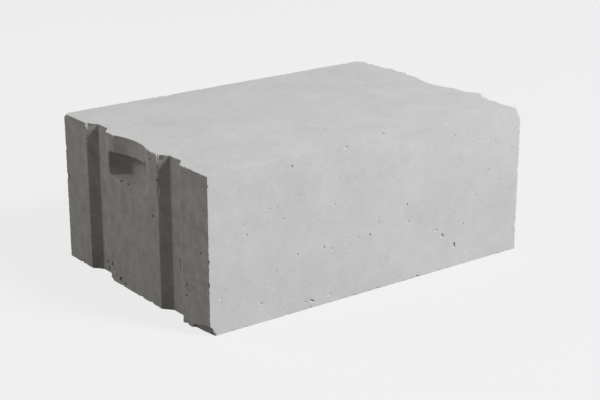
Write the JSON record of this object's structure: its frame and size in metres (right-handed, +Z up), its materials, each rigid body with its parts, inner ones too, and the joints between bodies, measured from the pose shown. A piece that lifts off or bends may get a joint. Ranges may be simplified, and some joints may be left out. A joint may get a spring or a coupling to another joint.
{
  "type": "aerated concrete block",
  "caption": "Rectangular aerated concrete masonry block with tongue-and-groove ends, a grip pocket in each end and flat bed faces for thin-bed mortar.",
  "frame": {"origin": "middle of the whole block, tongues included, on the lower bed face", "axes": "+X along the length towards the tongued end, +Y across the wall, +Z up"},
  "size_m": [0.6356, 0.425, 0.249],
  "materials": {
    "aerated_concrete": "matt, wire-cut, fine open pores"
  },
  "bodies": {
    "root": {"block": "aerated_concrete"}
  },
  "joints": []
}
